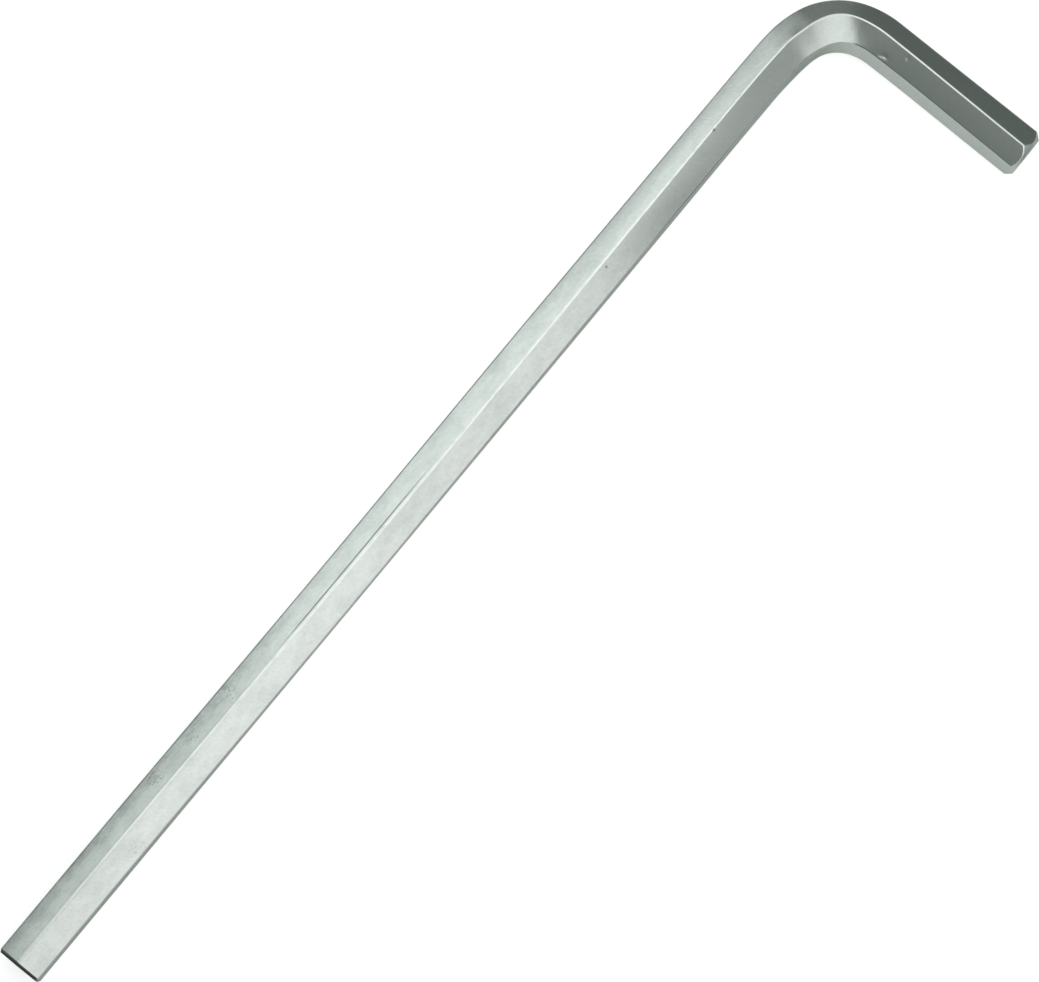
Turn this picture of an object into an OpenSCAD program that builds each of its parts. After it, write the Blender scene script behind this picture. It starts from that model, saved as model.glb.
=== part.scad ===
// Hexagon key of the extra-long pattern: one rolled bar with rounded corners,
// bent once at a right angle. Millimetres, +Z up. The key lies on its lower
// corner edges, its bend plane level. Seen from above, +X runs along the long
// arm to its free end and +Y along the short arm to its tip.

/* [Hexagon bar] */
// Width across the flats, the size the key is known by
across_flats = 7; // [5:0.5:10]
// Rounding on the six corner edges of the drawn bar
corner_radius = 0.45; // [0.1:0.05:0.8]

/* [Arms and bend] */
// Long arm, from its free end to the outer flat of the short arm
long_arm = 192; // [120:1:240]
// Short arm, from its tip to the outer flat of the long arm
short_arm = 42; // [34:1:60]
// Radius of the inner flat round the bend
bend_radius = 7.5; // [5:0.5:12]

/* [Ends] */
// Turned chamfer on the short arm's tip, as its length along the corner edges
tip_chamfer = 1.1; // [0.4:0.05:1.4]
// Small chamfer left along each flat where the long arm was cropped
crop_chamfer = 0.4; // [0.1:0.05:0.8]

/* [Hidden] */

half_flats = across_flats / 2;
sharp_corner = half_flats / cos(30);
// Centres of the corner arcs, and how far the rounded corners then reach
arc_centre = sharp_corner - corner_radius / cos(30);
corner_reach = arc_centre + corner_radius;
// Radius of the bar's centre line round the bend
centre_radius = bend_radius + half_flats;
// Straight lengths that are left between the bend and the two end faces
long_straight = long_arm - half_flats - centre_radius;
short_straight = short_arm - half_flats - centre_radius;
// Steps that put the origin under the middle of the key, on the table
to_middle_x = half_flats - long_arm / 2;
to_middle_y = half_flats - short_arm / 2;
smooth = 96;

// Bar section, with two flats facing +X and -X and corners facing +Y and -Y.
module bar_section() {
    polygon([for (k = [0 : 5]) for (side = [-30, 30])
        arc_centre * [cos(30 + 60 * k), sin(30 + 60 * k)]
            + corner_radius * [cos(30 + 60 * k + side), sin(30 + 60 * k + side)]]);
    for (k = [0 : 5])
        rotate(30 + 60 * k) translate([arc_centre, 0]) circle(r = corner_radius, $fn = smooth);
}

// Cone that turns the six corners down to a round shoulder at the bar's end.
module tip_cone(length) {
    cylinder(r = corner_reach, h = length - tip_chamfer, $fn = smooth);
    translate([0, 0, length - tip_chamfer])
        cylinder(r1 = corner_reach, r2 = corner_reach - tip_chamfer, h = tip_chamfer, $fn = smooth);
}

// Long straight, drawn upwards from the bend, with a bevel along each flat's end.
module long_bar() {
    difference() {
        linear_extrude(height = long_straight) bar_section();
        for (k = [0 : 5])
            rotate(60 * k) translate([half_flats - crop_chamfer, -across_flats, long_straight])
                rotate([0, 45, 0]) cube([across_flats, 2 * across_flats, across_flats]);
    }
}

// Short straight, drawn upwards from the bend, with the turned tip.
module short_bar() {
    intersection() {
        linear_extrude(height = short_straight) bar_section();
        tip_cone(short_straight);
    }
}

// Quarter turn between the two straights, about the bend's own centre.
module bend() {
    rotate([0, 0, 180]) rotate_extrude(angle = 90, $fn = smooth)
        translate([centre_radius, 0]) bar_section();
}

module hex_key() {
    color([0.72, 0.74, 0.72])
    translate([to_middle_x, to_middle_y, corner_reach]) {
        translate([centre_radius, 0, 0]) rotate([0, 90, 0]) rotate(90) long_bar();
        translate([centre_radius, centre_radius, 0]) bend();
        translate([0, centre_radius, 0]) rotate([-90, 0, 0]) short_bar();
    }
}

hex_key();
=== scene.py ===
"""Looks of an extra-long 7 mm hexagon key: satin plated steel, lying on a pale table.

Every length in the classes is in millimetres and turns to metres where a mesh or a lamp is made.
Places along the key are run lengths of the bar's centre line, from the long arm's cropped end,
round the bend, to the short arm's turned tip.
"""

import logging
import math
from dataclasses import dataclass, field
from enum import Enum
from typing import Any

import bpy
import numpy as np
from mathutils import Matrix, Vector, noise


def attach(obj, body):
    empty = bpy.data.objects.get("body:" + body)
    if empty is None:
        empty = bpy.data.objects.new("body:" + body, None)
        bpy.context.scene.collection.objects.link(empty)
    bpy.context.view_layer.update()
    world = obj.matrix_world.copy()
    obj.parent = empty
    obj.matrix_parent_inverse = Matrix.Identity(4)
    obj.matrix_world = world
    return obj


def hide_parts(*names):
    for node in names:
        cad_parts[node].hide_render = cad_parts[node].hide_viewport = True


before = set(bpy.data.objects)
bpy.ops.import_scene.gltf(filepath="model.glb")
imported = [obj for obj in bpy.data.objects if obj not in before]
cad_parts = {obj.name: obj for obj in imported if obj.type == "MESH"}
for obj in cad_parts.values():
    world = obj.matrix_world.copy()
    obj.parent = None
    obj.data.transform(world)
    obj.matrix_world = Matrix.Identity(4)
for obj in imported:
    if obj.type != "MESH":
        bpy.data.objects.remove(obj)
LOG = logging.getLogger("hex_key")
MM = 0.001
HALF_CORNER = math.radians(30)
OUTER_CLOTH = "#F9FCFD"
INNER_CLOTH = "#FFFCFF"

Tree = bpy.types.NodeTree
Socket = bpy.types.NodeSocket


def srgb(colour: str, alpha: float = 1.0) -> tuple[float, float, float, float]:
    """Turns an sRGB hex colour to the linear values that a shader socket takes.

    Args:
        colour: Six hex digits after a hash sign.
        alpha: Opacity, passed through.

    Returns:
        Linear red, green and blue, then alpha.
    """
    parts = [int(colour[i:i + 2], 16) / 255 for i in (1, 3, 5)]
    red, green, blue = (c / 12.92 if c <= 0.04045 else ((c + 0.055) / 1.055) ** 2.4 for c in parts)
    return red, green, blue, alpha


def fade(value: np.ndarray | float, start: float, end: float) -> np.ndarray | float:
    """Rises smoothly from 0 at start to 1 at end, and stays level outside them."""
    share = np.clip((value - start) / (end - start), 0.0, 1.0)
    return share * share * (3 - 2 * share)


def add_object(name: str, data: bpy.types.ID) -> bpy.types.Object:
    """Puts an object with this mesh, lamp or camera in the scene."""
    thing = bpy.data.objects.new(name, data)
    bpy.context.scene.collection.objects.link(thing)
    return thing


def empty_tree(owner: bpy.types.Material | bpy.types.World) -> Tree:
    """Gives the node tree of a material or a world, emptied."""
    owner.use_nodes = True
    owner.node_tree.nodes.clear()
    return owner.node_tree


def add_node(
    tree: Tree,
    kind: str,
    settings: dict[str | int, Any] | None = None,
    links: dict[str | int, Socket] | None = None,
    **values: Any,
) -> bpy.types.Node:
    """Adds one node to a tree, with its settings, socket values and incoming links.

    Args:
        tree: The node tree that gets the node.
        kind: Blender's type name of the node.
        settings: Values of input sockets, under the sockets' names or numbers.
        links: Input sockets, by name or number, and the output socket that feeds each.
        **values: Attributes of the node itself.

    Returns:
        The new node.
    """
    node = tree.nodes.new(kind)
    for name, value in values.items():
        setattr(node, name, value)
    for name, value in (settings or {}).items():
        node.inputs[name].default_value = value
    for name, source in (links or {}).items():
        tree.links.new(source, node.inputs[name])
    return node


def product(tree: Tree, first: Socket, *others: Socket | float) -> Socket:
    """Multiplies a value by others in turn.

    Args:
        tree: The node tree.
        first: The first value.
        *others: Sockets or fixed values.

    Returns:
        The product's socket.
    """
    for other in others:
        fixed, linked = {}, {0: first}
        (fixed if isinstance(other, float) else linked)[1] = other
        first = add_node(tree, "ShaderNodeMath", fixed, linked, operation="MULTIPLY").outputs[0]
    return first


def blend(
    tree: Tree,
    share: Socket,
    first: Socket | tuple[float, ...],
    second: Socket | tuple[float, ...],
) -> Socket:
    """Mixes two colours, each a socket or a fixed value, by a share.

    Args:
        tree: The node tree.
        share: How much of the second colour there is, from 0 to 1.
        first: The colour at a share of 0.
        second: The colour at a share of 1.

    Returns:
        The mixed colour's socket.
    """
    fixed, linked = {}, {0: share}
    for place, colour in ((6, first), (7, second)):
        (fixed if isinstance(colour, tuple) else linked)[place] = colour
    return add_node(tree, "ShaderNodeMix", fixed, linked, data_type="RGBA").outputs[2]


@dataclass(frozen=True)
class Ramp:
    """A rise from low to high while another value goes from start to end; level outside them."""

    start: float = 0.0
    end: float = 1.0
    low: float = 0.0
    high: float = 1.0
    smooth: bool = False

    def build(self, tree: Tree, value: Socket) -> Socket:
        """Adds the ramp to a node tree and gives its value."""
        ends = {"From Min": self.start, "From Max": self.end,
                "To Min": self.low, "To Max": self.high}
        kind = "SMOOTHSTEP" if self.smooth else "LINEAR"
        node = add_node(tree, "ShaderNodeMapRange", ends, {"Value": value},
                        interpolation_type=kind)
        return node.outputs[0]


@dataclass(frozen=True)
class Window:
    """A mask that is 1 between its inner two marks and fades to 0 at its outer two."""

    start: float
    full: float
    fading: float
    end: float

    def build(self, tree: Tree, value: Socket) -> Socket:
        """Adds the mask of a coordinate to a node tree and gives its value."""
        rising = Ramp(self.start, self.full, smooth=True).build(tree, value)
        falling = Ramp(self.end, self.fading, smooth=True).build(tree, value)
        return product(tree, rising, falling)


@dataclass(frozen=True)
class Pattern:
    """Noise in the bar's own coordinates.

    Its scale is in features per millimetre along the bar, inward and up. Detail is the number of
    octaves, ragged is how strong each finer octave is against the one before it, and lean is how
    far the strokes lean from straight across, in radians.
    """

    scale: tuple[float, float, float]
    detail: float = 3.0
    ragged: float = 0.5
    lean: float = 0.0

    def build(self, tree: Tree, place: Socket) -> Socket:
        """Adds the noise to a node tree and gives its value."""
        if self.lean:
            place = add_node(tree, "ShaderNodeVectorRotate", {"Angle": self.lean},
                             {"Vector": place}, rotation_type="Z_AXIS").outputs[0]
        sized = add_node(tree, "ShaderNodeVectorMath", {1: self.scale}, {0: place},
                         operation="MULTIPLY")
        return add_node(tree, "ShaderNodeTexNoise",
                        {"Scale": 1.0, "Detail": self.detail, "Roughness": self.ragged},
                        {"Vector": sized.outputs[0]}).outputs[0]


class EndFinish(Enum):
    """How an end of the bar was made."""

    CROPPED = "sheared off square, then tumbled, with a small bevel along each flat"
    TURNED = "turned to a cone, so that the flats run out in scallops"


@dataclass(frozen=True)
class HexBar:
    """Section of the drawn bar: six flats and six rounded corners.

    Corner 0 is up and towards the inside of the bend, corner 1 is the top ridge, corner 2 is up
    and outside, and 3 to 5 are below them. A section place is (inward, up) from the centre line.
    """

    across_flats: float = 7.0
    corner_radius: float = 0.45
    flat_steps: int = 22
    corner_steps: int = 8
    support: float = 0.05
    crown: float = 0.02

    @property
    def reach(self) -> float:
        """Distance from the centre line to the rounded corner."""
        return self.arc_centre(0.0) + self.corner_radius

    def arc_centre(self, inset: float) -> float:
        """Distance from the centre line to a corner arc's centre, with the flats set in."""
        return (self.across_flats / 2 - inset - self.corner_radius) / math.cos(HALF_CORNER)

    def on_arc(self, centre: float, tip: float, angle: float) -> np.ndarray:
        """Gives a point of a corner arc, set in by the crown so that the flat's middle is full."""
        middle = (centre - self.crown / math.cos(HALF_CORNER)) * np.array(
            [math.cos(tip), math.sin(tip)])
        return middle + self.corner_radius * np.array([math.cos(angle), math.sin(angle)])

    def outline(self, inset: float = 0.0) -> tuple[np.ndarray, np.ndarray, np.ndarray]:
        """Lays points round the section, close together at the rounded corners.

        Args:
            inset: How far the flats are set in, as at a bevel.

        Returns:
            The points (n, 2), the share of each corner in each point (n, 6), and an edge mark (n)
            that is 1 on a corner arc and 0 on a flat.
        """
        centre = self.arc_centre(inset)
        points, shares, edges = [], [], []
        tips = np.array([math.radians(30 + 60 * k) for k in range(6)])
        for k, tip in enumerate(tips):
            for turn in np.radians(np.linspace(-30, 30, self.corner_steps + 1)):
                points.append(self.on_arc(centre, tip, tip + turn))
                shares.append(np.eye(6)[k])
                edges.append(1.0)
            following = tips[(k + 1) % 6]
            start, end = points[-1], self.on_arc(centre, following, following - HALF_CORNER)
            middle = tip + HALF_CORNER
            outward = np.array([math.cos(middle), math.sin(middle)])
            # A hexagon's flat is as long as its corners lie from the middle.
            near = self.support / centre
            steps = np.concatenate([[near], np.linspace(0, 1, self.flat_steps)[1:-1], [1 - near]])
            for t in steps:
                swell = self.crown * 4 * t * (1 - t)
                points.append(start + (end - start) * t + outward * swell)
                shares.append(np.eye(6)[k] * (1 - t) + np.eye(6)[(k + 1) % 6] * t)
                edges.append(0.0)
        return np.array(points), np.array(shares), np.array(edges)


@dataclass(frozen=True)
class BarRun:
    """Centre line of the key: the long straight, a quarter turn and the short straight.

    The steps space the mesh's rings along the arms, round the bend and just past it, where the
    margin is the length of the stretch before and after the bend that gets its own spacing.
    """

    long_arm: float = 192.0
    short_arm: float = 42.0
    bend_radius: float = 7.5
    half_flats: float = 3.5
    margin: float = 6.0
    arm_step: float = 0.8
    bend_step: float = 0.3
    past_bend_step: float = 0.12

    @property
    def centre_radius(self) -> float:
        """Radius of the centre line round the bend."""
        return self.bend_radius + self.half_flats

    @property
    def bend_start(self) -> float:
        """Run length at which the long straight ends."""
        return self.long_arm - self.half_flats - self.centre_radius

    @property
    def bend_end(self) -> float:
        """Run length at which the short straight starts."""
        return self.bend_start + self.centre_radius * math.pi / 2

    @property
    def length(self) -> float:
        """Whole run length, to the tip."""
        return self.bend_end + self.short_arm - self.half_flats - self.centre_radius

    def place(self, run: float) -> tuple[np.ndarray, np.ndarray]:
        """Finds a point of the centre line, with the key's middle at the origin.

        Args:
            run: Run length from the cropped end.

        Returns:
            The point, and the level direction towards the inside of the bend.
        """
        turn = self.centre_radius
        if run <= self.bend_start:
            point, inward = [self.long_arm - self.half_flats - run, 0, 0], [0, 1, 0]
        elif run <= self.bend_end:
            angle = (run - self.bend_start) / turn
            inward = [math.sin(angle), math.cos(angle), 0]
            point = [turn - turn * inward[0], turn - turn * inward[1], 0]
        else:
            point, inward = [0, turn + run - self.bend_end, 0], [1, 0, 0]
        middle = [self.long_arm / 2 - self.half_flats, self.short_arm / 2 - self.half_flats, 0]
        return np.array(point) - np.array(middle), np.array(inward, float)

    def stations(self, start: float, end_zone: float, end_step: float) -> np.ndarray:
        """Spaces the rings: fine at both ends and round the bend, wider along the arms.

        Args:
            start: Run length of the first ring, at the cropped face's rim.
            end_zone: Length at each end that gets the finest rings.
            end_step: Spacing of those rings.

        Returns:
            Run lengths of the rings, rising.
        """
        zones = (
            (start, end_zone, end_step),
            (end_zone, self.bend_start - self.margin, self.arm_step),
            (self.bend_start - self.margin, self.bend_end, self.bend_step),
            (self.bend_end, self.bend_end + self.margin, self.past_bend_step),
            (self.bend_end + self.margin, self.length - end_zone, self.arm_step),
            (self.length - end_zone, self.length, end_step),
        )
        parts = [np.linspace(a, b, round((b - a) / step), endpoint=False) for a, b, step in zones]
        return np.concatenate([*parts, [self.length]])


@dataclass(frozen=True)
class BendStrain:
    """Small departures of the real key from an ideal swept hexagon.

    The bar was bent round a former: its top ridge is pushed out and then let back in the bend, the
    inner flat thickens where the bend starts, and the arms stay a little bowed and rolled. Rows
    are run length, then how far the outer, top, upper inner and lower inner corners stray inward,
    how far the top ridge sinks, how far the upper outer and upper inner corners rise and how
    hollow the upper inner flat is.
    """

    rows: tuple[tuple[float, ...], ...] = (
        (0.0, 0.00, -0.20, 0.06, 0.12, 0.00, 0.00, 0.00, 0.00),
        (24.0, 0.00, -0.15, 0.07, 0.12, 0.00, 0.00, 0.00, 0.00),
        (48.0, 0.10, 0.06, 0.20, 0.12, 0.00, 0.00, 0.00, 0.00),
        (72.0, 0.17, 0.16, 0.30, 0.14, 0.00, 0.00, 0.00, 0.00),
        (96.0, 0.08, 0.11, 0.28, 0.14, 0.00, 0.00, 0.00, 0.00),
        (120.0, 0.00, -0.02, 0.17, 0.12, 0.00, 0.00, 0.00, 0.00),
        (144.0, 0.00, -0.20, 0.10, 0.12, 0.00, 0.00, 0.00, 0.00),
        (168.0, 0.00, -0.26, 0.08, 0.10, 0.00, 0.00, 0.00, 0.00),
        (173.0, 0.02, -0.21, 0.08, 0.14, 0.00, 0.00, 0.00, 0.00),
        (176.0, 0.06, -0.10, 0.10, 0.32, 0.00, 0.00, 0.02, 0.02),
        (178.5, 0.18, 0.03, 0.16, 0.50, 0.07, 0.00, 0.08, 0.04),
        (181.0, 0.15, 0.04, 0.22, 0.42, 0.18, 0.03, 0.11, 0.05),
        (183.5, -0.04, -0.38, 0.08, 0.20, 0.24, 0.08, 0.08, 0.07),
        (186.5, -0.13, -0.88, -0.26, 0.06, 0.26, 0.14, 0.03, 0.08),
        (188.2, -0.14, -0.90, -0.39, 0.05, 0.26, 0.16, 0.00, 0.08),
        (190.0, -0.10, -0.66, -0.44, 0.08, 0.20, 0.14, 0.00, 0.08),
        (191.5, -0.04, -0.43, -0.36, 0.11, 0.13, 0.13, 0.00, 0.05),
        (193.5, 0.00, -0.25, -0.28, 0.14, 0.06, 0.11, 0.00, 0.01),
        (196.0, 0.00, -0.20, -0.30, 0.12, 0.02, 0.10, 0.00, 0.00),
        (200.0, 0.00, -0.17, -0.34, 0.10, 0.00, 0.08, 0.00, 0.00),
        (208.0, 0.00, -0.06, -0.25, 0.15, 0.00, 0.06, 0.00, 0.00),
        (216.0, 0.00, 0.07, -0.12, 0.21, 0.00, 0.04, 0.00, 0.00),
        (222.5, 0.00, 0.16, -0.02, 0.24, 0.00, 0.03, 0.00, 0.00),
    )

    def values(self, run: float) -> np.ndarray:
        """Reads the rows' values at a run length, along a smooth curve that doesn't overshoot."""
        table = np.array(self.rows)
        runs, values = table[:, 0], table[:, 1:]
        slopes = np.gradient(values, runs, axis=0)
        level = np.diff(values, axis=0) == 0
        slopes[1:-1][level[:-1] | level[1:]] = 0
        i = int(np.clip(np.searchsorted(runs, run) - 1, 0, len(runs) - 2))
        step = runs[i + 1] - runs[i]
        t = (run - runs[i]) / step
        return (values[i] * (1 + 2 * t) * (1 - t) ** 2 + values[i + 1] * t * t * (3 - 2 * t)
                + slopes[i] * step * t * (1 - t) ** 2 - slopes[i + 1] * step * t * t * (1 - t))

    def strays(self, run: float) -> np.ndarray:
        """Gives how far each of the six corners strays (inward, up) at a run length."""
        outer, top, upper, lower, sink, rise, lift, _ = self.values(run)
        inward = [upper, top, outer, outer, 0.4 * top, lower]
        return np.column_stack([inward, [lift, -sink, rise, 0, 0, 0]])

    def hollow(self, run: float) -> float:
        """Gives how deep the middle of the upper inner flat lies at a run length."""
        return float(self.values(run)[-1])


@dataclass(frozen=True)
class Nick:
    """A small dint in the upper side, at a run length and a section place."""

    run: float
    inward: float
    long: float
    wide: float
    deep: float
    steepness: float = 2.0
    reach: float = 2.5

    def depth(self, run: float, inward: float) -> float:
        """Gives the dint's depth at a place, nothing beyond its reach in its own sizes."""
        away = math.hypot((run - self.run) / self.long, (inward - self.inward) / self.wide)
        return self.deep * math.exp(-away * away * self.steepness) if away < self.reach else 0.0


@dataclass(frozen=True)
class Waviness:
    """Slow hollows that drawing and plating leave in the flats; they make the sheen wander."""

    depth: float = 0.006
    length: float = 21.0
    width: float = 3.0
    fine_depth: float = 0.0010
    fine_length: float = 3.0
    fine_width: float = 1.2
    fine_offset: float = 7.0

    def hollow(self, run: float, inward: float, up: float) -> float:
        """Gives how deep the surface lies below its ideal place."""
        slow = noise.noise(Vector((run / self.length, inward / self.width, up / self.width)))
        quick = noise.noise(Vector((run / self.fine_length,
                                    inward / self.fine_width + self.fine_offset,
                                    up / self.fine_width)))
        return self.depth * (0.5 + 0.5 * slow) + self.fine_depth * (0.5 + 0.5 * quick)


@dataclass(frozen=True)
class Speck:
    """A single dark speck or a cluster of pores: run length, place off the ridge, height, size and
    strength.
    """

    run: float
    inward: float
    up: float
    size: float
    strength: float

    def build(self, tree: Tree, place: Socket) -> Socket:
        """Adds the speck's soft round mask to a node tree and gives its value."""
        gap = add_node(tree, "ShaderNodeVectorMath", {1: (self.run, self.inward, self.up)},
                       {0: place}, operation="DISTANCE").outputs["Value"]
        edge = Ramp(0.25 * self.size, 0.62 * self.size, self.strength, 0.0, smooth=True)
        return edge.build(tree, gap)


@dataclass(frozen=True)
class SeamShade:
    """A fine line of painted shade on the upper side: its place off the ridge, half width, run and
    strength.
    """

    gap: float
    width: float
    run: Window
    strength: float
    core: float = 0.02
    upper_side: float = 1.0

    def build(self, tree: Tree, parts: bpy.types.bpy_prop_collection) -> Socket:
        """Adds the seam's mask to a node tree and gives its value."""
        along = self.run.build(tree, parts["X"])
        across = Window(self.gap - self.width, self.gap - self.core,
                        self.gap + self.core, self.gap + self.width).build(tree, parts["Y"])
        top = add_node(tree, "ShaderNodeMath", {1: self.upper_side}, {0: parts["Z"]},
                       operation="GREATER_THAN").outputs[0]
        return product(tree, along, across, top, self.strength)


@dataclass(frozen=True)
class SatinPlate:
    """Satin nickel plating over a cold-drawn, tumbled steel bar.

    The eye gets a cool grey metal with soft, slightly cloudy reflections; the clouds thin out
    towards the bend. The plating has a tumbled grain of short strokes that lean across the bar,
    faint draw lines run along it, and the bend's inner flat is creased and duller. The corner
    edges are rubbed smoother and paler, the top ridge most, where the paler tone is also a painted
    highlight. A painted reflection of darker mottling, with clusters of dark pores, lies on the
    outer flat near the cropped end; painted shade darkens fine lines beside the top ridge, the
    first along a draw seam; the sheared end is dark and the turned one is pale but coarse.
    Widths and places are in millimetres.
    """

    name: str = "satin_nickel_plate"
    plate: str = "#C5CAC6"
    # Paler worn edges, and the painted highlight on the top ridge.
    rub_and_highlight_tint: str = "#D6DAD5"
    # Cloudy haze of the plating, and the painted reflection of darker mottling on the outer flat.
    film_and_dark_reflection: str = "#828B86"
    # Dark pores and specks, and the painted shade of the lines beside the top ridge.
    pore_and_seam_shade: str = "#3C3F39"
    sheared: str = "#757B74"
    turned: str = "#CDD2CE"
    grazing: str = "#A4AAA6"

    roughness: Ramp = Ramp(0.3, 0.7, 0.22, 0.265)
    rubbed: float = 0.18
    coarse: float = 0.36
    creased: float = 0.31

    cloud: Pattern = Pattern((0.22, 0.45, 0.45), 6.0, ragged=0.62)
    # Mottling of the painted reflection on the outer flat.
    reflection_mottle: Pattern = Pattern((0.42, 0.80, 0.80), 8.0, ragged=0.66)
    fleck: Pattern = Pattern((2.6, 2.8, 2.8))
    dash: Pattern = Pattern((0.55, 0.9, 0.9))
    grain: Pattern = Pattern((1 / 0.28, 0.4 / 0.28, 0.4 / 0.28), lean=0.5)
    draw_lines: Pattern = Pattern((0.035, 1 / 0.20, 1 / 0.20))
    wrinkles: Pattern = Pattern((1 / 0.30, 0.22, 0.22), 2.0)
    grain_depth: float = 0.0025
    line_depth: float = 0.0010
    wrinkle_depth: float = 0.0035

    haze: Ramp = Ramp(0.40, 0.66, high=0.17)
    haze_run: Window = Window(-4.0, 0.0, 112.0, 150.0)
    haze_left: float = 0.5
    stroke: Ramp = Ramp(0.34, 0.66, high=0.12)
    # Painted reflection: darker mottling on the outer flat near the cropped end.
    painted_reflection: Ramp = Ramp(0.40, 0.66, high=0.52)
    painted_reflection_run: Window = Window(-4.0, 14.0, 50.0, 74.0)
    painted_reflection_inward: Window = Window(-6.0, -5.0, -2.6, -0.7)
    # Where the edges are paler: worn, and a painted highlight on the top ridge along the arm.
    rub_and_highlight_share: Ramp = Ramp(0.30, 0.52, 0.45)
    rub_and_highlight_run: Window = Window(-30.0, 58.0, 174.0, 190.0)
    rub_and_highlight_inward: Window = Window(-0.34, -0.10, 0.10, 0.34)
    rub_and_highlight_elsewhere: float = 0.1
    crease_run: Window = Window(175.0, 180.0, 187.0, 191.0)
    crease_inward: Window = Window(-0.3, 0.4, 5.0, 6.0)

    pores: Ramp = Ramp(0.48, 0.70)
    specks: tuple[Speck, ...] = (
        Speck(133.7, 0.82, 3.55, 0.50, 0.50),
        Speck(160.3, 0.24, 3.84, 0.50, 0.60),
        Speck(197.4, 2.10, 2.45, 0.50, 0.40),
    )
    clusters: tuple[Speck, ...] = (
        Speck(33.2, -2.05, 2.85, 2.8, 0.60),
        Speck(41.2, -1.85, 2.95, 2.4, 0.40),
        Speck(49.3, -1.80, 2.95, 3.6, 0.36),
        Speck(24.0, 2.60, 2.55, 3.0, 0.30),
    )
    # Painted shade: fine dark lines beside the top ridge, the first along a draw seam.
    seam_shades: tuple[SeamShade, ...] = (
        SeamShade(-0.42, 0.14, Window(56.0, 66.0, 84.0, 97.0), 0.85),
        SeamShade(-0.34, 0.08, Window(-2.0, 0.0, 50.0, 60.0), 0.20),
        SeamShade(0.32, 0.08, Window(-2.0, 0.0, 30.0, 50.0), 0.14),
    )

    def build(self) -> bpy.types.Material:
        """Makes the material from the bar's own coordinates, so that its grain follows the bend."""
        material = bpy.data.materials.new(self.name)
        tree = empty_tree(material)
        place = add_node(tree, "ShaderNodeAttribute", attribute_name="bar_place").outputs["Vector"]
        marks = add_node(tree, "ShaderNodeAttribute", attribute_name="bar_marks").outputs["Vector"]
        parts = add_node(tree, "ShaderNodeSeparateXYZ", links={0: place}).outputs
        masks = add_node(tree, "ShaderNodeSeparateXYZ", links={0: marks}).outputs
        edge, turned, sheared = masks["X"], masks["Y"], masks["Z"]
        bent = product(tree, self.crease_run.build(tree, parts["X"]),
                       self.crease_inward.build(tree, parts["Y"]))
        cloud = self.cloud.build(tree, place)
        grain = self.grain.build(tree, place)
        colour = self.tone(tree, place, parts, cloud, grain)
        colour = self.rub_and_highlight(tree, place, parts, edge, colour)
        colour = self.mark(tree, place, parts, colour)
        colour = blend(tree, turned, colour, srgb(self.turned))
        colour = blend(tree, sheared, colour, srgb(self.sheared))
        rough = self.roughness.build(tree, cloud)
        for share, level in ((edge, self.rubbed), (turned, self.coarse), (bent, self.creased)):
            rough = add_node(tree, "ShaderNodeMix", {3: level}, {0: share, 2: rough}).outputs[0]
        shader = add_node(tree, "ShaderNodeBsdfPrincipled",
                          {"Metallic": 1.0, "Specular Tint": srgb(self.grazing)},
                          {"Base Color": colour, "Roughness": rough,
                           "Normal": self.relief(tree, place, bent, grain)})
        add_node(tree, "ShaderNodeOutputMaterial", links={"Surface": shader.outputs[0]})
        return material

    def tone(
        self,
        tree: Tree,
        place: Socket,
        parts: bpy.types.bpy_prop_collection,
        cloud: Socket,
        grain: Socket,
    ) -> Socket:
        """Colours the plating: cloudy haze and grain, with a painted reflection of darker mottling on
        the outer flat.

        Args:
            tree: The material's node tree.
            place: The bar's own coordinates.
            parts: The same coordinates, one by one.
            cloud: Slow noise over the whole bar.
            grain: Tumbled grain.

        Returns:
            The colour socket.
        """
        left = Ramp(low=self.haze_left).build(tree, self.haze_run.build(tree, parts["X"]))
        haze = add_node(tree, "ShaderNodeMath", operation="MULTIPLY_ADD",
                        links={0: self.haze.build(tree, cloud), 1: left,
                               2: self.stroke.build(tree, grain)}).outputs[0]
        hazy = blend(tree, haze, srgb(self.plate), srgb(self.film_and_dark_reflection))
        # Painted reflection: darker mottling on the outer flat near the cropped end.
        reflection_area = product(tree, self.painted_reflection_run.build(tree, parts["X"]),
                       self.painted_reflection_inward.build(tree, parts["Y"]))
        painted_reflection = self.painted_reflection.build(tree, self.reflection_mottle.build(tree, place))
        return blend(tree, product(tree, painted_reflection, reflection_area), hazy, srgb(self.film_and_dark_reflection))

    def rub_and_highlight(
        self,
        tree: Tree,
        place: Socket,
        parts: bpy.types.bpy_prop_collection,
        edge: Socket,
        colour: Socket,
    ) -> Socket:
        """Brightens the corner edges, the top ridge most: tumbling and handling wore them, and the
        ridge gets a painted highlight.

        Args:
            tree: The material's node tree.
            place: The bar's own coordinates.
            parts: The same coordinates, one by one.
            edge: Mask of the corner arcs.
            colour: The plating's colour so far.

        Returns:
            The colour socket with the edges worn paler and the ridge's painted highlight.
        """
        share = self.rub_and_highlight_share.build(tree, self.dash.build(tree, place))
        ridge = product(tree, self.rub_and_highlight_inward.build(tree, parts["Y"]),
                        self.rub_and_highlight_run.build(tree, parts["X"]))
        ridge = Ramp(low=self.rub_and_highlight_elsewhere).build(tree, ridge)
        # Painted highlight on the top ridge, over edges worn paler.
        return blend(tree, product(tree, share, ridge, edge), colour, srgb(self.rub_and_highlight_tint))

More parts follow.
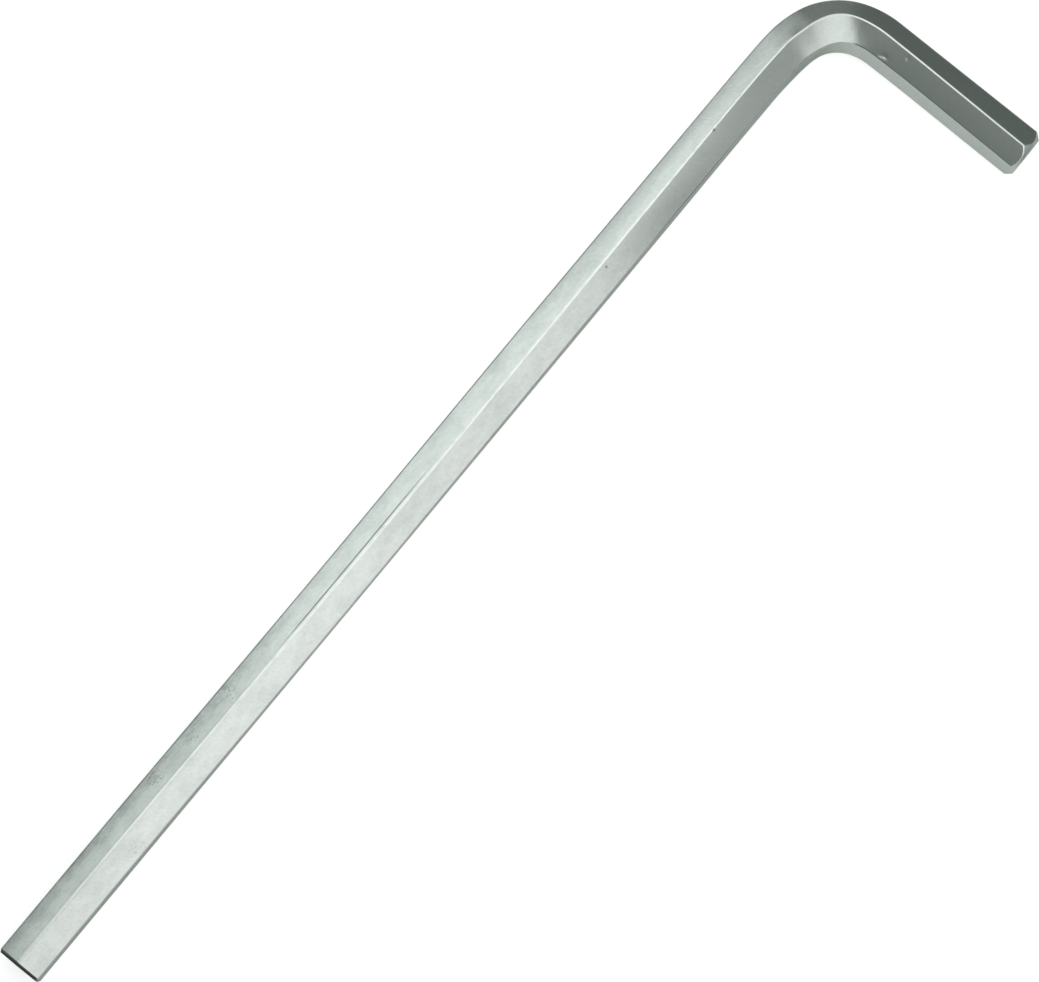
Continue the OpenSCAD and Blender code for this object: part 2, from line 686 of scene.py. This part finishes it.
    def mark(
        self,
        tree: Tree,
        place: Socket,
        parts: bpy.types.bpy_prop_collection,
        colour: Socket,
    ) -> Socket:
        """Adds the single marks: specks, clusters of pores and lines of painted shade by the ridge.

        Args:
            tree: The material's node tree.
            place: The bar's own coordinates.
            parts: The same coordinates, one by one.
            colour: The plating's colour so far.

        Returns:
            The colour socket with the marks.
        """
        pores = self.pores.build(tree, self.fleck.build(tree, place))
        shares = [speck.build(tree, place) for speck in self.specks]
        shares += [product(tree, spot.build(tree, place), pores) for spot in self.clusters]
        # Painted shade in fine lines beside the top ridge.
        shares += [seam.build(tree, parts) for seam in self.seam_shades]
        for share in shares:
            colour = blend(tree, share, colour, srgb(self.pore_and_seam_shade))
        return colour

    def relief(self, tree: Tree, place: Socket, bent: Socket, grain: Socket) -> Socket:
        """Gives the plating its microns of relief: grain, draw lines and cross wrinkles.

        Args:
            tree: The material's node tree.
            place: The bar's own coordinates.
            bent: Mask of the bend's inner flat, which is creased.
            grain: Tumbled grain.

        Returns:
            The normal socket.
        """
        lines = self.draw_lines.build(tree, place)
        folds = product(tree, self.wrinkles.build(tree, place), bent)
        layers = ((grain, self.grain_depth), (lines, self.line_depth), (folds, self.wrinkle_depth))
        under: dict[str | int, Socket] = {}
        for height, depth in layers:
            bump = add_node(tree, "ShaderNodeBump", {"Strength": 1.0, "Distance": depth * MM},
                            {"Height": height, **under})
            under = {"Normal": bump.outputs[0]}
        return under["Normal"]


@dataclass
class Rings:
    """Sections laid so far: points in space, their places on the bar, and their marks."""

    points: list[np.ndarray] = field(default_factory=list)
    places: list[np.ndarray] = field(default_factory=list)
    marks: list[np.ndarray] = field(default_factory=list)


@dataclass
class HexKey:
    """The whole key, one bent bar, built as a closed mesh of rings along its centre line."""

    bar: HexBar = field(default_factory=HexBar)
    run: BarRun = field(default_factory=BarRun)
    strain: BendStrain = field(default_factory=BendStrain)
    waves: Waviness = field(default_factory=Waviness)
    finish: SatinPlate = field(default_factory=SatinPlate)
    crop_bevel: float = 0.24
    crop_length: float = 0.50
    crop_back: float = 0.14
    crop_swell: float = 0.04
    crop_soft: tuple[float, float] = (-0.04, 0.08)
    tip_dish: float = 0.06
    tip_chamfer: float = 0.95
    tip_slope: float = 0.85
    tip_offset: float = 0.16
    tip_blend: float = 0.035
    corner_blend: float = 0.42
    corner_power: int = 6
    face_shares: tuple[float, ...] = (0.985, 0.96, 0.9, 0.8, 0.66, 0.5, 0.34, 0.18, 0.06)
    nicks: tuple[Nick, ...] = (
        Nick(195.75, 2.62, 0.50, 0.30, 0.055),
        Nick(196.35, 2.38, 0.85, 0.34, 0.085),
        Nick(199.2, 0.66, 0.36, 0.38, 0.060),
    )
    end_zone: float = 1.8
    end_step: float = 0.06

    def ring(self, run: float) -> tuple[np.ndarray, np.ndarray]:
        """Shapes the section at one run length.

        Args:
            run: Run length from the cropped end.

        Returns:
            The section's points (n, 2) and its marks (n, 3): rubbed, turned, sheared.
        """
        inset = self.bevel(run, EndFinish.CROPPED)
        points, shares, edges = self.bar.outline(inset)
        sheared = float(fade(inset, 0.0, self.crop_soft[1]))
        marks = np.column_stack([edges, edges * 0, edges * 0 + sheared])
        points += shares @ self.strain.strays(run)
        sunk = 4 * shares[:, 0] * shares[:, 1] * self.strain.hollow(run)
        points -= np.outer(sunk, [0.5, math.cos(HALF_CORNER)])
        if run > self.run.length - 2 * self.tip_chamfer:
            points, marks[:, 1] = self.turn(run, points, shares[:, 1])
        for i, (inward, up) in enumerate(points):
            depth = self.waves.hollow(run, inward, up)
            if up > 0:
                depth += sum(nick.depth(run, inward) for nick in self.nicks)
            points[i] *= 1 - depth / math.hypot(inward, up)
        return points, marks

    def turn(
        self, run: float, points: np.ndarray, ridge: np.ndarray,
    ) -> tuple[np.ndarray, np.ndarray]:
        """Cuts a section back to the tip's cone, which runs out most softly at the top ridge.

        Args:
            run: Run length from the cropped end.
            points: The section's points (n, 2).
            ridge: Share of the top ridge in each point (n).

        Returns:
            The points, cut back, and how far each lies on the cone (n).
        """
        centre = np.array([self.tip_offset, 0.0])
        radius = np.hypot(*(points - centre).T)
        limit = self.bar.reach - self.bevel(run, EndFinish.TURNED)
        blend_width = self.tip_blend + self.corner_blend * ridge ** self.corner_power
        gap = np.clip((radius - limit) / blend_width, -1, 1)
        softened = np.where(gap >= 1, limit, radius - blend_width * (gap + 1) ** 2 / 4)
        return centre + (points - centre) * (softened / radius)[:, None], fade(gap, 0.0, 1.0)

    def bevel(self, run: float, end: EndFinish) -> float:
        """Gives how far an end's cut lies inside the bar; a turned one starts below 0."""
        if end is EndFinish.TURNED:
            return self.tip_slope * (self.tip_chamfer - (self.run.length - run))
        slope = self.crop_bevel / self.crop_length
        cut = self.crop_bevel - (run - self.crop_back) * slope
        return 0.0 if cut <= 0 else cut * float(fade(cut, *self.crop_soft))

    def mesh(self) -> bpy.types.Mesh:
        """Joins the rings and both end faces into one closed mesh.

        Returns:
            The mesh, in metres, with the bar's own coordinates as point attributes.
        """
        stations = self.run.stations(self.crop_back, self.end_zone, self.end_step)
        rings = Rings()
        for run in stations:
            self.lay(rings, float(run), *self.ring(float(run)))
        for end in EndFinish:
            self.face(rings, stations, end)
        across = len(rings.points[0])
        loops = [list(range(i * across, (i + 1) * across)) for i in range(len(rings.points))]
        count, steps = len(stations), len(self.face_shares)
        cropped = [loops[0], *loops[count:count + steps]]
        turned = [loops[count - 1], *loops[count + steps:]]
        faces = self.quads(loops[:count])
        faces += [quad[::-1] for quad in self.quads(cropped)]
        faces.append(tuple(cropped[-1]))
        faces += self.quads(turned)
        faces.append(tuple(turned[-1][::-1]))
        mesh = bpy.data.meshes.new("hexagon_key")
        mesh.from_pydata((np.concatenate(rings.points) * MM).tolist(), [], faces)
        mesh.polygons.foreach_set("use_smooth", [True] * len(mesh.polygons))
        for name, rows in (("bar_place", rings.places), ("bar_marks", rings.marks)):
            layer = mesh.attributes.new(name, "FLOAT_VECTOR", "POINT")
            layer.data.foreach_set("vector", np.concatenate(rows).astype(np.float32).ravel())
        mesh.update()
        return mesh

    def lay(self, rings: Rings, run: float, section: np.ndarray, marks: np.ndarray) -> None:
        """Puts one section in space and notes each point's place on the bar, off the ridge.

        Args:
            rings: The sections so far, which get this one.
            run: Run length from the cropped end.
            section: The section's points (n, 2).
            marks: The section's marks (n, 3).
        """
        point, inward = self.run.place(run)
        up = np.array([0, 0, 1.0])
        rings.points.append(point + np.outer(section[:, 0], inward)
                            + np.outer(section[:, 1], up) + self.bar.reach * up)
        off = section - [self.strain.strays(run)[1, 0], 0]
        rings.places.append(np.column_stack([np.full(len(section), run), off]))
        rings.marks.append(marks)

    def face(self, rings: Rings, stations: np.ndarray, end: EndFinish) -> None:
        """Closes an end with shrinking rings: a sheared face swells, a turned one is dished.

        Args:
            rings: The sections so far, which get the face's rings.
            stations: Run lengths of the bar's rings.
            end: Which end is closed.
        """
        cropped = end is EndFinish.CROPPED
        run = float(stations[0 if cropped else -1])
        depth = self.crop_swell if cropped else self.tip_dish
        section, marks = self.ring(run)
        marks = marks * 0 + [0, float(not cropped), float(cropped)]
        for share in self.face_shares:
            self.lay(rings, run - depth * (1 - share * share), section * share, marks)

    @staticmethod
    def quads(loops: list[list[int]]) -> list[tuple[int, ...]]:
        """Joins neighbouring closed loops of equal length with quads."""
        faces = []
        for near, far in zip(loops, loops[1:]):
            for i in range(len(near)):
                j = (i + 1) % len(near)
                faces.append((near[i], far[i], far[j], near[j]))
        return faces

    def build(self) -> bpy.types.Object:
        """Makes the key's object, dressed, in place of the plain CAD node."""
        key = add_object("hexagon_key", self.mesh())
        key.data.materials.append(self.finish.build())
        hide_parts("hex_key")
        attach(key, "root")
        return key


@dataclass(frozen=True)
class MattLaminate:
    """Matt white laminate with a little light of its own.

    The eye gets an even white ground that keeps the key's faint shadow. The key mirrors it as a
    soft grey, and more weakly where its flats look along the table than where they look down on it.
    """

    name: str = "matt_white_top"
    colour: str = "#C3C5C4"
    own: str = "#FFFFFF"
    lift: float = 0.72
    mirrored: Ramp = Ramp(0.50, 0.12, 0.24, 0.53, smooth=True)

    def build(self) -> bpy.types.Material:
        """Makes the material: plain matt, lifted for the camera and in the key's reflections."""
        material = bpy.data.materials.new(self.name)
        tree = empty_tree(material)
        path = add_node(tree, "ShaderNodeLightPath").outputs
        traced = add_node(tree, "ShaderNodeMath", links={0: path["Is Glossy Ray"],
                          1: path["Is Transmission Ray"]}, operation="MAXIMUM").outputs[0]
        facing = add_node(tree, "ShaderNodeLayerWeight").outputs["Facing"]
        mirrored = product(tree, traced, self.mirrored.build(tree, facing))
        glow = add_node(tree, "ShaderNodeMath", {1: self.lift},
                        {0: path["Is Camera Ray"], 2: mirrored}, operation="MULTIPLY_ADD")
        matt = add_node(tree, "ShaderNodeBsdfDiffuse", {"Color": srgb(self.colour)})
        own = add_node(tree, "ShaderNodeEmission", {"Color": srgb(self.own)},
                       {"Strength": glow.outputs[0]})
        both = add_node(tree, "ShaderNodeAddShader", links={0: matt.outputs[0], 1: own.outputs[0]})
        add_node(tree, "ShaderNodeOutputMaterial", links={"Surface": both.outputs[0]})
        return material


@dataclass(frozen=True)
class TableTop:
    """Pale table top under the key."""

    finish: MattLaminate = field(default_factory=MattLaminate)
    radius: float = 6000.0
    sides: int = 96

    def build(self) -> bpy.types.Object:
        """Makes the level disc under the key."""
        ring = [(math.cos(2 * math.pi * i / self.sides) * self.radius * MM,
                 math.sin(2 * math.pi * i / self.sides) * self.radius * MM, 0.0)
                for i in range(self.sides)]
        mesh = bpy.data.meshes.new("table_top")
        mesh.from_pydata(ring, [], [tuple(range(self.sides))])
        top = add_object("table_top", mesh)
        mesh.materials.append(self.finish.build())
        return top


class TentSide(Enum):
    """Which side of the key a lit sheet stands on, with the direction that it faces."""

    OUTER = (0.0, 1.0, 0.0)
    INNER = (0.0, -1.0, 0.0)
    ABOVE = (0.0, 0.0, -1.0)


@dataclass(frozen=True)
class SoftPanel:
    """A lit diffusing sheet of the light tent: its middle, width and height, and brightness."""

    name: str
    side: TentSide
    place: tuple[float, float, float]
    size: tuple[float, float]
    radiance: float
    colour: str = "#FFFFFF"

    def build(self) -> bpy.types.Object:
        """Makes the panel as an area lamp that the camera doesn't see."""
        lamp = bpy.data.lights.new(self.name, "AREA")
        lamp.shape = "RECTANGLE"
        lamp.size, lamp.size_y = (side * MM for side in self.size)
        lamp.energy = self.radiance * math.pi * lamp.size * lamp.size_y
        lamp.color = srgb(self.colour)[:3]
        panel = add_object(self.name, lamp)
        panel.rotation_mode = "QUATERNION"
        panel.rotation_quaternion = Vector(self.side.value).to_track_quat("-Z", "Y")
        panel.location = Vector(self.place) * MM
        panel.visible_camera = False
        return panel


@dataclass(frozen=True)
class LightTent:
    """Small table tent: lit sheets along both sides of the long arm and a wide one above."""

    low: str = "#5B625E"
    high: str = "#8E9491"
    climb: Ramp = Ramp(0.0, 0.8)
    panels: tuple[SoftPanel, ...] = (
        SoftPanel("outer_sheet", TentSide.OUTER, (-20, -170, 101), (250, 98), 0.75, OUTER_CLOTH),
        SoftPanel("outer_sheet_turn", TentSide.OUTER, (-163, -170, 109), (36, 82), 0.80, OUTER_CLOTH),
        SoftPanel("outer_sheet_core", TentSide.OUTER, (-44, -172, 112), (136, 100), 0.565, OUTER_CLOTH),
        SoftPanel("outer_sheet_bend", TentSide.OUTER, (-121, -173, 62), (56, 44), 0.34, OUTER_CLOTH),
        SoftPanel("outer_sheet_end", TentSide.OUTER, (57, -172, 110), (110, 82), 0.28, "#F2FCF8"),
        SoftPanel("outer_sheet_far", TentSide.OUTER, (-345, -170, 90), (260, 140), 0.11),
        SoftPanel("inner_sheet", TentSide.INNER, (38, 90, 98), (224, 76), 1.06, INNER_CLOTH),
        SoftPanel("inner_sheet_end", TentSide.INNER, (37, 91, 103), (78, 62), 0.20, INNER_CLOTH),
        SoftPanel("inner_sheet_low", TentSide.INNER, (75, 90, 37), (150, 46), 0.94, INNER_CLOTH),
        SoftPanel("inner_sheet_mid", TentSide.INNER, (-37, 90, 50), (74, 20), 0.98, INNER_CLOTH),
        SoftPanel("inner_sheet_left", TentSide.INNER, (-90, 91, 126), (32, 34), 1.30),
        SoftPanel("inner_sheet_soft", TentSide.INNER, (-115, 91, 132), (18, 34), 0.40),
        SoftPanel("inner_sheet_upper", TentSide.INNER, (-50, 91, 170), (140, 60), 1.04),
        SoftPanel("inner_sheet_spill", TentSide.INNER, (-171, 92, 62), (158, 80), 0.32),
        SoftPanel("top_sheet", TentSide.ABOVE, (-125, -45, 400), (450, 530), 0.92),
        SoftPanel("top_ridge", TentSide.ABOVE, (-18, -65, 401), (335, 120), 0.46),
        SoftPanel("top_corner", TentSide.ABOVE, (140, 160, 400), (120, 120), 1.15),
        SoftPanel("top_edge", TentSide.ABOVE, (165, 10, 400), (130, 180), 0.04),
    )

    def build(self) -> None:
        """Makes the tent's dim walls, paler towards the top, and the lit sheets."""
        world = bpy.data.worlds.new("tent_walls")
        bpy.context.scene.world = world
        tree = empty_tree(world)
        place = add_node(tree, "ShaderNodeTexCoord").outputs["Generated"]
        height = add_node(tree, "ShaderNodeSeparateXYZ", links={0: place}).outputs["Z"]
        walls = blend(tree, self.climb.build(tree, height), srgb(self.low), srgb(self.high))
        glow = add_node(tree, "ShaderNodeBackground", {"Strength": 1.0}, {"Color": walls})
        add_node(tree, "ShaderNodeOutputWorld", links={"Surface": glow.outputs[0]})
        for panel in self.panels:
            panel.build()


@dataclass(frozen=True)
class CopyCamera:
    """Camera above the table, at the photograph's place and lens."""

    place: tuple[float, float, float] = (88.11, 31.45, 560.85)
    right: tuple[float, float, float] = (-0.62975, 0.77503, 0.05233)
    down: tuple[float, float, float] = (0.75958, 0.6285, -0.16743)
    lens: float = 132.73
    sensor: float = 36.0
    nearest: float = 10.0
    farthest: float = 50000.0

    def build(self) -> bpy.types.Object:
        """Makes the camera and sets it as the scene's own."""
        data = bpy.data.cameras.new("copy_camera")
        data.sensor_width, data.lens = self.sensor, self.lens
        data.clip_start, data.clip_end = self.nearest * MM, self.farthest * MM
        camera = add_object("copy_camera", data)
        right, up = Vector(self.right).normalized(), -Vector(self.down).normalized()
        back = right.cross(up).normalized()
        turn = Matrix((right, back.cross(right), back)).transposed()
        camera.matrix_world = Matrix.Translation(Vector(self.place) * MM) @ turn.to_4x4()
        bpy.context.scene.camera = camera
        return camera


def main() -> None:
    """Builds the scene in order and logs the key, the table top and the camera."""
    logging.basicConfig(level=logging.INFO, format="%(name)s: %(message)s")
    bpy.context.scene.view_settings.view_transform = "Standard"
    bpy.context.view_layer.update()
    key = HexKey().build()
    LOG.info("%s: %d faces", key.name, len(key.data.polygons))
    top = TableTop().build()
    LOG.info("%s: %d faces", top.name, len(top.data.polygons))
    LightTent().build()
    camera = CopyCamera().build()
    LOG.info("%s at %s", camera.name, tuple(round(c, 3) for c in camera.location))
    bpy.context.view_layer.update()


if __name__ == "__main__":
    main()
